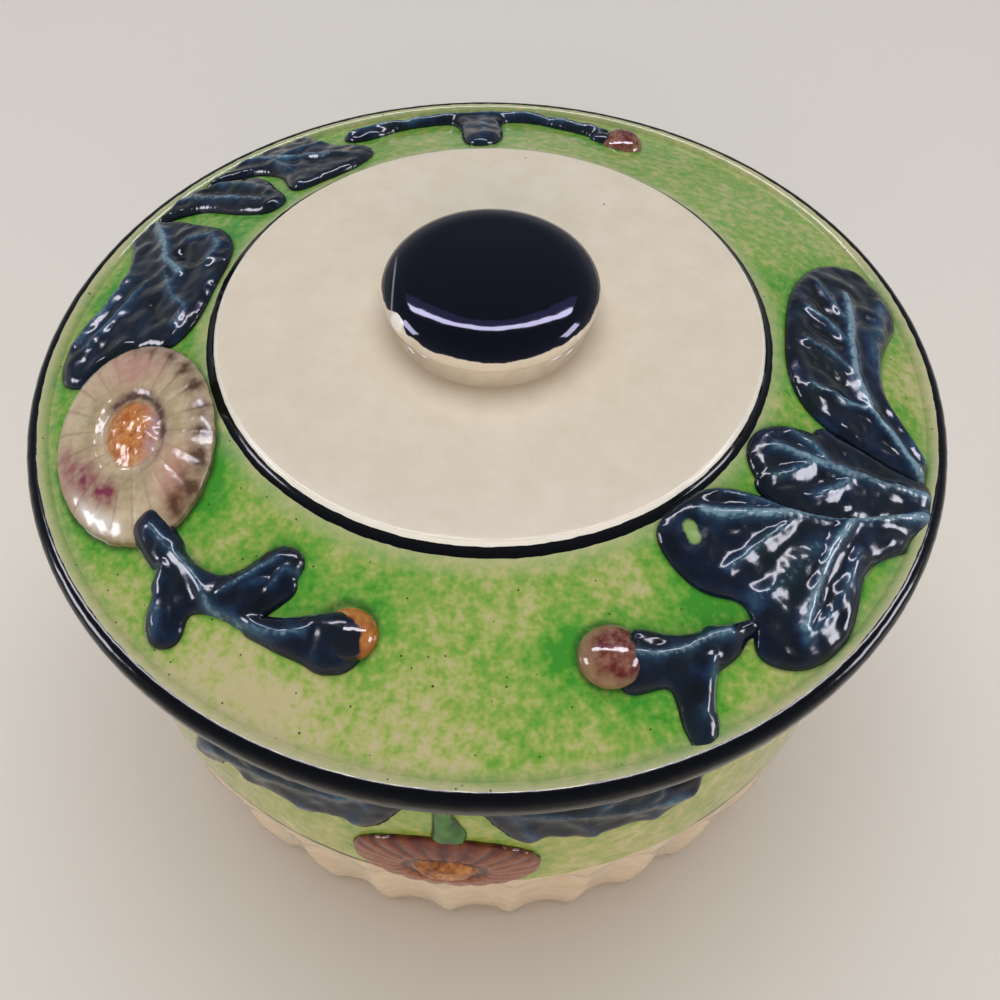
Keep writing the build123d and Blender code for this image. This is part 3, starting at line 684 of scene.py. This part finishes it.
# Ridges and grooves of each sprig: a width, a lift and a line of places
lid_sprig_ridges = {
    "lid_right_long_leaf": [
        (0.9, 0.9, [(63.5, -23.5), (58.3, -16), (55.5, -12.5), (54.3, -6), (54.8, 0), (56, 6), (56.5, 12)]),
        (1.3, 0.5, [(64, -20), (61, -12.5), (59.3, -5), (59.3, 1), (61.3, 7), (62.8, 12.5)]),
        (0.8, 0.7, [(55.5, -12.5), (51, -12), (46.5, -10.5)]),
        (0.8, 0.6, [(54.3, -6), (51, -3.5), (47, -2)]),
        (0.8, 0.6, [(54.8, 0), (51.5, 3.5), (48.5, 5.5)]),
        (0.8, 0.6, [(55.6, 5), (53, 9.5), (51.5, 13)]),
        (0.9, -0.4, [(52, -8.5), (47.5, -6.3)]),
        (0.9, -0.4, [(52.5, -0.8), (48, 1.8)]),
        (0.9, -0.4, [(53, 4.5), (50, 8.5)])],
    "lid_right_middle_leaf": [
        (0.9, 0.8, [(63, -25), (55, -24.8), (47, -24), (39, -22.8)]),
        (0.8, 0.6, [(51, -24.6), (47, -27.5), (44, -29)]),
        (0.8, 0.6, [(45, -23.8), (40.5, -26.5), (38, -27.5)]),
        (0.8, 0.6, [(48, -24.2), (45, -21.2), (42, -19.8)])],
    "lid_right_lobed_leaf": [
        (0.9, 0.9, [(63, -28), (55, -29.8), (47, -31), (40, -32.3), (33, -33.8), (28, -34)]),
        (0.9, 0.8, [(50, -30.7), (46, -36), (43, -42), (41, -47)]),
        (0.8, 0.6, [(42, -32), (36, -37), (31, -41)]),
        (0.7, 0.5, [(40, -31.5), (34, -30.9), (29, -30.3)]),
        (0.8, 0.5, [(50, -35.5), (48, -40), (45, -44.5), (41, -48.5)]),
        (1.6, 0.5, [(44, -36), (39, -41), (35, -44)])],
    "lid_right_twig": [
        (0.8, 0.7, [(31, -48.6), (28.5, -49.4), (25, -51.3), (21.5, -52.4), (19, -52.4)]),
        (0.8, 0.4, [(28.8, -52), (28.8, -56), (27.5, -58)])],
    "lid_left_long_leaf": [
        (1.2, 0.6, [(-62.5, 27), (-60.3, 19), (-59, 12.5), (-60.8, 6), (-64.5, -0.5)]),
        (0.9, 0.8, [(-61, 31), (-57.5, 27.5), (-54.5, 21), (-52.3, 14.5), (-49, 10.3)]),
        (0.8, 0.6, [(-50, 20), (-46, 19.5), (-43.5, 15.5), (-44.5, 11.5)]),
        (0.8, 0.6, [(-52.3, 12), (-49, 5), (-46, 1.5), (-47, -1.8)]),
        (0.9, 0.5, [(-55, 10), (-58, 4), (-62, -2.5)]),
        (1.2, -0.7, [(-50.5, 16.5), (-47, 13)]),
        (1.0, -0.5, [(-52, 4), (-50, 0)])],
    "lid_left_middle_leaf": [
        (0.9, 0.7, [(-61, 36), (-53, 34.5), (-46, 31), (-39, 27.5)]),
        (0.8, 0.5, [(-50, 38.5), (-43, 35), (-38, 30)]),
        (0.9, -0.4, [(-51, 36.5), (-44.5, 33), (-40, 30)])],
    "lid_left_lobed_leaf": [
        (0.9, 0.7, [(-52, 48), (-44, 46.5), (-36, 43), (-27, 41)]),
        (0.8, 0.5, [(-42, 46), (-36, 38.5)]),
        (0.8, 0.5, [(-40, 45), (-34, 48.5), (-30, 50)])],
    "lid_front_twig": [
        (0.75, 0.6, [(-43.5, -36.1), (-40.4, -39), (-38.3, -40.7), (-35.9, -44), (-34.3, -46.8), (-30.4, -48.9),
                     (-25, -50.7), (-21.5, -50.7)]),
        (0.6, 0.6, [(-32.8, -45), (-30.5, -44), (-28.2, -42.8), (-25.4, -41.6)]),
        (0.6, 0.4, [(-30.4, -44.7), (-27.3, -44.2)]),
        (0.6, 0.5, [(-26.5, -45.2), (-24.8, -43), (-22.9, -43.2)]),
        (0.9, 0.4, [(-41.5, -41), (-41.8, -45), (-41.2, -49)])],
    "lid_rear_twig": [
        (0.7, 0.6, [(-27.9, 52.5), (-11.9, 58.6), (5.3, 60.8), (20.8, 54.1)]),
        (0.7, 0.4, [(-3, 58), (-2.5, 51), (-2.5, 46)])],
}
# Runs of pads, each a line of places with radii, carry outlines on to their neighbours and over the flower's edge
lid_sprig_pads = {
    "lid_right_middle_leaf": [
        [(47.5, -18.9, 1.6), (51.9, -20.7, 1.6), (56.9, -22.6, 1.6), (61.8, -23.6, 1.8), (61, -26.6, 1.8)],
        [(37.9, -27.9, 1.6), (40.4, -29.3, 1.7), (45.3, -30.3, 1.7), (50.4, -29.6, 1.7), (55.8, -28.4, 1.7),
         (60.9, -26.5, 1.8)]],
    "lid_right_lobed_leaf": [[(57.5, -30, 1.7), (60.8, -28, 1.6), (61.9, -25.8, 1.5)]],
    "lid_right_twig": [
        [(19.7, -53.7, 1.9), (19.9, -52.3, 1.9)], [(27.4, -58.8, 1.8), (27.4, -60.3, 1.6)],
        [(29, -49.4, 1.6), (31.6, -48.4, 1.0), (34.5, -47.1, 0.7)]],
    "lid_front_twig": [
        [(-41.5, -38.6, 2.3), (-44.3, -35.1, 2.3)], [(-40.8, -41.6, 1.3), (-41.2, -43, 1.5)],
        [(-29, -46.8, 1.6), (-26.8, -45.6, 1.6), (-25, -44.4, 1.6)],
        [(-28.5, -49.1, 1.0), (-24, -50.4, 1.9), (-20.5, -51, 2.7), (-18.6, -51.5, 3.3), (-17.6, -51.5, 3.3)]],
    "lid_rear_twig": [[(18.8, 53, 1.5), (21, 52, 1.5)]],
}
# Raised spots: a place, a spread and a height
lid_sprig_rises = {"lid_front_twig": [(-44, -35.6, 3.2, 1.1), (-18, -51.4, 2.8, 1.1)],
                   "lid_right_twig": [(19, -53, 2.2, 0.8)]}
# Worn spots, where the green glaze shows through: a place and a spread
lid_sprig_worn = {"lid_right_lobed_leaf": [(26.3, -36.2, 1.0), (26.9, -37.6, 0.9)]}
# The jar's navy lead glaze, with its full mirror and paler where it is rubbed on the ribs
navy_material = flooded_glaze("flooded_navy_glaze", navy_tints, navy_murk, "#8AA3B2")
for node, ridges in lid_sprig_ridges.items():
    sprig_bm = pressed_sprig(node, band_sheet, lid_sprig_crown, lid_sprig_lump, ridges,
                             lid_sprig_pads.get(node, ()), lid_sprig_rises.get(node, ()))
    worn = sprig_bm.verts.layers.float.new("worn")
    for vert in sprig_bm.verts:
        vert[worn] = sum(np.exp(-((vert.co.x - x) ** 2 + (vert.co.y - y) ** 2) / size**2)
                         for x, y, size in lid_sprig_worn.get(node, ()))
    finished(node, sprig_bm, "lid", navy_material)

# Lid flower
# A pressed daisy-like head luted to the band at the left: 22 ribbed petals round a domed eye. Cream glaze is brushed
# over with pink and brown, and the eye with orange.
flower_middle, flower_turn = (-49.3, -20.93), radians(203)
flower_halves, flower_swell, flower_eye_share = (11.3, 16.6), 0.3, 0.34
flower_heights, flower_rib_lift = (2.4, 1.8, 1.7, 3.0), 0.12
# Brush strokes, in the same terms as the daisy's. The pale stroke on the front rim is a painted highlight;
# the wall stroke on the front of the side wall and the dark ring in the groove at the eye's top and right are painted
# shade
flower_strokes = {
    "olive": [(67, 30, 0.52, 0.14, 1.0, 0), (-47, 45, 0.55, 0.12, 0.9, 0), (180, 60, 0.55, 0.15, 0.7, 0)],
    "pink": [(-106, 38, 0.75, 0.28, 1.0, 0.2), (122, 24, 0.68, 0.22, 1.0, 0.2), (5, 25, 0.9, 0.12, 0.5, 0)],
    "rust": [(115, 14, 0.86, 0.12, 1.0, 0.2)],
    "brown": [(148, 28, 0.87, 0.16, 1.2, 0.5), (-161, 26, 0.88, 0.15, 1.1, 0.5), (112, 22, 0.92, 0.12, 1.0, 0.4),
              (-120, 18, 0.92, 0.12, 0.7, 0.5)],
    "red": [(20, 20, 0.7, 0.17, 1.1, 0), (-3, 14, 0.86, 0.12, 0.7, 0), (46, 13, 0.63, 0.13, 0.9, 0)],
    "pale": [(43, 20, 0.9, 0.08, 1.0, 0)],
    "lilac": [(150, 55, 0.3, 0.09, 1.0, 0)],
    "groove_shade": [(-106, 55, 0.39, 0.06, 1.2, 0), (165, 50, 0.39, 0.05, 1.0, 0)],
    "wall": [(60, 50, 1.04, 0.06, 1.4, 0)],
}
flower_bm = flower_head(
    "lid_flower", band_sheet, flower_middle, flower_turn, flower_halves, flower_swell, flower_eye_share,
    flower_heights, flower_rib_lift, flower_strokes)
# Cream, pink and brown glazes brushed on petals: streaks run out along them, and the eye is mottled orange
flower_material, tree, shader, place = fired_glaze("brushed_cream_and_pink_glaze", 0.16, 1.6, 0.05)
reach, rib = (add(tree, "Attribute", attribute_name=name).outputs["Fac"] for name in ("reach", "rib"))
petal_glaze = sponged(tree, place, 0.5, 7.0, 2.0, [
    (0.15, "#B09A7C"), (0.45, "#C0AC8C"), (0.7, "#CABA9A"), (0.95, "#B3A07E")])
groove = add(tree, "MapRange", {0: rib, 1: 0.35, 2: 0.05, 4: 0.45})
petal_glaze = add(tree, "Mix", {0: groove, 6: petal_glaze, 7: colour("#7C5B45")}, data_type="RGBA")
eye_glaze = sponged(tree, place, 0.5, 3.0, 1.0, [(0.2, "#985022"), (0.5, "#BE7636"), (0.8, "#CF9C66")])
in_eye = add(tree, "MapRange", {0: reach, 1: flower_eye_share + 0.02, 2: flower_eye_share - 0.04})
tint = add(tree, "Mix", {0: in_eye, 6: petal_glaze, 7: eye_glaze}, data_type="RGBA")
# Painted highlight and painted shade are laid on here with the glaze strokes: the pale one, the wall one and the dark
# groove ring
tint = stroked(tree, place, tint, (
    ("olive", "#94865F", 1.5), ("pink", "#B8857A", 1.7), ("rust", "#8E5140", 1.7), ("brown", "#553A26", 2.0),
    ("red", "#7C3144", 1.6), ("pale", "#DDD5CE", 1.8), ("lilac", "#AC9094", 1.6), ("groove_shade", "#5C4038", 1.9),
    ("wall", "#84775A", 1.6)))
tree.links.new(tint.outputs[2], shader.inputs["Base Color"])
finished("lid_flower", flower_bm, "lid", flower_material)

# Lid buds
# A round bud at the end of each twig, a ball of clay pressed on to the band, with the twig's navy glaze run over
# its back as a calyx.
bud_height_share = 0.62


def bud_glaze(name, tints, edge_code):
    """Brushed bud glaze, thin at its edge by the edge value, with the navy calyx over it by the calyx value."""
    material, tree, shader, place = fired_glaze(name, 0.08, 1.3, 0.06)
    blotch_size, dab_size, waver_size = 4.0, 1.4, 1.5
    tint = sponged(tree, place, 0.5, blotch_size, dab_size, tints)
    wander = add(tree, "TexNoise", {"Vector": place, "Scale": 1 / (waver_size * MM), "Detail": 2.0})
    edge, calyx = (add(tree, "Attribute", attribute_name=name).outputs["Fac"] for name in ("edge", "calyx"))
    ragged_edge = add(tree, "Math", {0: wander, 1: 0.6, 2: edge}, operation="MULTIPLY_ADD")
    thin = add(tree, "MapRange", {0: ragged_edge, 1: 0.95, 2: 1.35, 4: 0.85})
    tint = add(tree, "Mix", {0: thin, 6: tint, 7: colour(edge_code)}, data_type="RGBA")
    ragged_calyx = add(tree, "Math", {0: wander, 1: 0.3, 2: calyx}, operation="MULTIPLY_ADD")
    covered = add(tree, "MapRange", {0: ragged_calyx, 1: 0.15, 2: 0.25})
    tint = add(tree, "Mix", {0: covered, 6: tint, 7: colour("#15171F")}, data_type="RGBA")
    tree.links.new(tint.outputs[2], shader.inputs["Base Color"])
    return material


# Iron-brown glazes on the buds: dark red with a tan edge at the right and back, orange-brown at the front
red_bud = bud_glaze("brushed_iron_red_glaze", [
    (0.15, "#4A1A17"), (0.4, "#652C24"), (0.65, "#85584A"), (0.9, "#97755C")], "#97795A")
orange_bud = bud_glaze("brushed_iron_orange_glaze", [(0.2, "#8A5224"), (0.5, "#B06E30"), (0.8, "#C48D55")], "#9C5A2C")
# Place, radius, middle and reach of the round calyx, and middle of the thick glaze, the last three in radii
buds = {
    "lid_right_bud": ((16.0, -52.2), 4.2, (1.17, 0.56), 0.68, (0.25, -0.05), red_bud),
    "lid_front_bud": ((-16.0, -50.4), 3.6, (-0.33, -0.45), 0.9, (0.2, 0.2), orange_bud),
    "lid_rear_bud": ((22.7, 51.2), 3.8, (-1.17, 0.39), 0.7, (0, 0), red_bud),
}
for node, (middle, radius, calyx_middle, calyx_reach, thick_middle, material) in buds.items():
    bud_bm = bmesh.new()
    bmesh.ops.create_icosphere(bud_bm, subdivisions=5, radius=radius)
    calyx, edge = (bud_bm.verts.layers.float.new(name) for name in ("calyx", "edge"))
    for vert in bud_bm.verts:
        way = vert.co / radius
        vert[calyx] = calyx_reach - hypot(way.x - calyx_middle[0], way.y - calyx_middle[1])
        vert[edge] = hypot(way.x - thick_middle[0], way.y - thick_middle[1])
        vert.co.z *= bud_height_share
    bmesh.ops.translate(bud_bm, vec=(*middle, band_seat(*middle)), verts=bud_bm.verts)
    finished(node, bud_bm, "lid", material)

# Knob
# A low mushroom knob thrown or cast apart and luted on the middle of the disc. Its cap is dipped in black glaze down
# to just above the widest circle, and its neck is under the disc's clear glaze.
crown_height, shoulder_radius, shoulder_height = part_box("knob")[1].z / MM, 9.5, disc_top + 8.95
widest_radius, widest_height = 15.8, disc_top + 5.2
neck_radius, neck_rise, base_radius = 13.0, 2.6, 14.4
dip_above_widest, knob_steps = 1.0, 160
chip_angle, chip_above_widest, chip_size = radians(214), 1.2, 1.5
# Place and half width of a thin painted highlight streak on the knob's left shoulder
highlight_streak_across, highlight_streak_half_width = -13.6, 0.2
crown_drop = crown_height - shoulder_height
knob_profile = [(shoulder_radius * share, crown_height - crown_drop * share**2) for share in np.linspace(0, 1, 15)]
knob_profile += arc((shoulder_radius, widest_height), (
    widest_radius - shoulder_radius, shoulder_height - widest_height), 90, -15, 14)[1:]
knob_profile += straight(knob_profile[-1], (neck_radius, disc_top + neck_rise), 6)
flare = draw_in_radius(base_radius - neck_radius, neck_rise)
flare_start = 180 - degrees(asin((neck_rise - flare) / flare))
knob_profile += arc((base_radius, disc_top + flare), (flare, flare), flare_start, 270, 10)[1:]
knob_profile += straight((base_radius, disc_top), (0, disc_top), 6)
knob_bm = turned(knob_profile, knob_steps)
chip = knob_bm.verts.layers.float.new("chip")
chip_height = widest_height + chip_above_widest
chip_place = Vector((widest_radius * cos(chip_angle), widest_radius * sin(chip_angle), chip_height))
for vert in knob_bm.verts:
    vert[chip] = np.exp(-((vert.co - chip_place).length / chip_size) ** 2)

# Black lead glaze over a cream neck: mirror-like, with one chip, dust specks and a painted highlight streak, ragged at
# its lower edge
knob_material, tree, shader, place = fired_glaze("dipped_black_glaze", 0.07, 3.0, 0.04)
shader.inputs["Specular Tint"].default_value = colour("#E3DFFF")
along, chipped = (add(tree, "Attribute", attribute_name=name).outputs["Fac"] for name in ("along", "chip"))
dip_run = run_to(knob_profile, (widest_radius, widest_height + dip_above_widest))
wander = add(tree, "TexNoise", {"Vector": place, "Scale": 1 / (3.0 * MM), "Detail": 3.0})
steady = add(tree, "Math", {0: along, 1: -0.6})
edge = add(tree, "Math", {0: wander, 1: 1.2, 2: steady}, operation="MULTIPLY_ADD")
edge = add(tree, "Math", {0: chipped, 1: 2.6, 2: edge}, operation="MULTIPLY_ADD")
bare = add(tree, "MapRange", {0: edge, 1: dip_run - 0.08, 2: dip_run + 0.08})
ware = sponged(tree, place, 0.5, 10.0, 3.0, [(0.2, "#EADFCD"), (0.8, "#DDD0B8")])
dust = pinholes(tree, place, spacing=2.6, size=0.3, share=0.12)
black = add(tree, "Mix", {0: dust, 6: colour("#07080F"), 7: colour("#7C7F8C")}, data_type="RGBA")
# A thin pale grey line painted down the front of the left shoulder is a painted highlight
across, away, _ = add(tree, "SeparateXYZ", {0: place}).outputs
from_highlight_streak = add(tree, "Math", {0: across, 1: highlight_streak_across * MM}, operation="SUBTRACT")
off_highlight_streak = add(tree, "Math", {0: from_highlight_streak}, operation="ABSOLUTE")
painted_highlight_streak = add(tree, "MapRange", {0: off_highlight_streak, 1: highlight_streak_half_width * MM, 2: 0.4 * highlight_streak_half_width * MM, 4: 0.7})
near_front = add(tree, "MapRange", {0: away, 1: 3.5 * MM, 2: 0.5 * MM})
painted_highlight_streak = add(tree, "Math", {0: painted_highlight_streak, 1: near_front}, operation="MULTIPLY")
black = add(tree, "Mix", {0: painted_highlight_streak, 6: black, 7: colour("#8C8F99")}, data_type="RGBA")
fresh = add(tree, "MapRange", {0: chipped, 1: 0.25, 2: 0.5})
ware = add(tree, "Mix", {0: fresh, 6: ware, 7: colour("#F7F4EC")}, data_type="RGBA")
tint = add(tree, "Mix", {0: bare, 6: black, 7: ware}, data_type="RGBA")
tree.links.new(tint.outputs[2], shader.inputs["Base Color"])
finished("knob", knob_bm, "lid", knob_material)

# Floor, light and camera
# A plain pale table top in a dim room, lit by a softbox overhead and one in front. Side windows and a bowed row of
# ceiling lamps only show in the glaze. The camera stands where the photograph was taken from.
floor_bm = bmesh.new()
bmesh.ops.create_grid(floor_bm, x_segments=1, y_segments=1, size=4.0)
floor = bpy.data.objects.new("floor", bpy.data.meshes.new("floor"))
floor_bm.to_mesh(floor.data)
floor_bm.free()
bpy.context.collection.objects.link(floor)
floor_material = bpy.data.materials.new("pale_table_top")
floor_material.use_nodes = True
shader = floor_material.node_tree.nodes["Principled BSDF"]
shader.inputs["Base Color"].default_value = colour("#DCD5CA")
shader.inputs["Roughness"].default_value = 0.7
floor.data.materials.append(floor_material)

lid_top = Vector((0, 0, disc_top * MM))


def softbox(name, place, size, watts, tint, mirrored, turn=None):
    """Area light turned as given or aimed at the lid. A mirrored box only shows in the glaze; the others only light."""
    box_data = bpy.data.lights.new(name, "AREA")
    box_data.shape = "RECTANGLE"
    box_data.size, box_data.size_y = size
    box_data.energy, box_data.color = watts, colour(tint)[:3]
    box = bpy.data.objects.new(name, box_data)
    box.location = lid_top + Vector(place)
    box.rotation_euler = turn or (-Vector(place)).to_track_quat("-Z", "Y").to_euler()
    box.visible_diffuse, box.visible_glossy = not mirrored, mirrored
    bpy.context.collection.objects.link(box)


softbox("ceiling_softbox", (0, 0.2, 1.1), (1.2, 1.0), 11.6, "#FFFFFF", mirrored=False)
softbox("front_softbox", (0, -1.7, 0.5), (1.8, 1.0), 15, "#FFF1DF", mirrored=False)
for side in (-1, 1):
    softbox("side_window", (side * 1.0, -0.1, 0.37), (0.34, 0.3), 4.5, "#F4F2FF", mirrored=True)
row_height, row_back, row_bow, lamp_width = 0.9, 0.33, 0.2, 0.19
for share in np.linspace(-0.8, 0.8, 9):
    back, lamp_turn = row_back + row_bow * share**2, (0, 0, atan(2 * row_bow * share))
    for name, behind, depth, watts, tint in (("ceiling_lamp", 0, 0.14, 1.6, "#F6F3FF"),
                                             ("lamp_glow", 0.21, 0.22, 0.1, "#B0A4FF")):
        lamp_place = (share * row_height, (back + behind) * row_height, row_height)
        softbox(name, lamp_place, (lamp_width, depth), watts, tint, mirrored=True, turn=lamp_turn)

world = bpy.data.worlds.new("dim_room")
bpy.context.scene.world = world
world.use_nodes = True
sky = world.node_tree
up = add(sky, "SeparateXYZ", {0: add(sky, "TexCoord").outputs["Generated"]}).outputs["Z"]
room = add(sky, "ValToRGB", {0: up}, stops=[
    (0.0, colour("#A6A8AB")), (0.35, colour("#7D8591")), (1.0, colour("#5A616E"))])
sky.links.new(room.outputs["Color"], sky.nodes["Background"].inputs["Color"])

camera_target = Vector((2.03, -25.48, 78.75)) * MM
camera_distance, camera_elevation, camera_roll = 138.5 * MM, radians(55.09), radians(1.39)
photo_width, focal_pixels, sensor_width = 1000, 970, 36.0
forward = Vector((0, cos(camera_elevation), -sin(camera_elevation)))
upward = Vector((1, 0, 0)).cross(forward)
right = Vector((1, 0, 0)) * cos(camera_roll) + upward * sin(camera_roll)
camera = bpy.data.objects.new("camera", bpy.data.cameras.new("camera"))
camera.data.sensor_width = sensor_width
camera.data.lens = focal_pixels / photo_width * sensor_width
camera.data.clip_start = 0.01
camera_turn = Matrix((right, right.cross(forward), -forward)).transposed()
camera.matrix_world = Matrix.Translation(camera_target - forward * camera_distance) @ camera_turn.to_4x4()
bpy.context.collection.objects.link(camera)
bpy.context.scene.camera = camera
bpy.context.scene.view_settings.view_transform = "Standard"
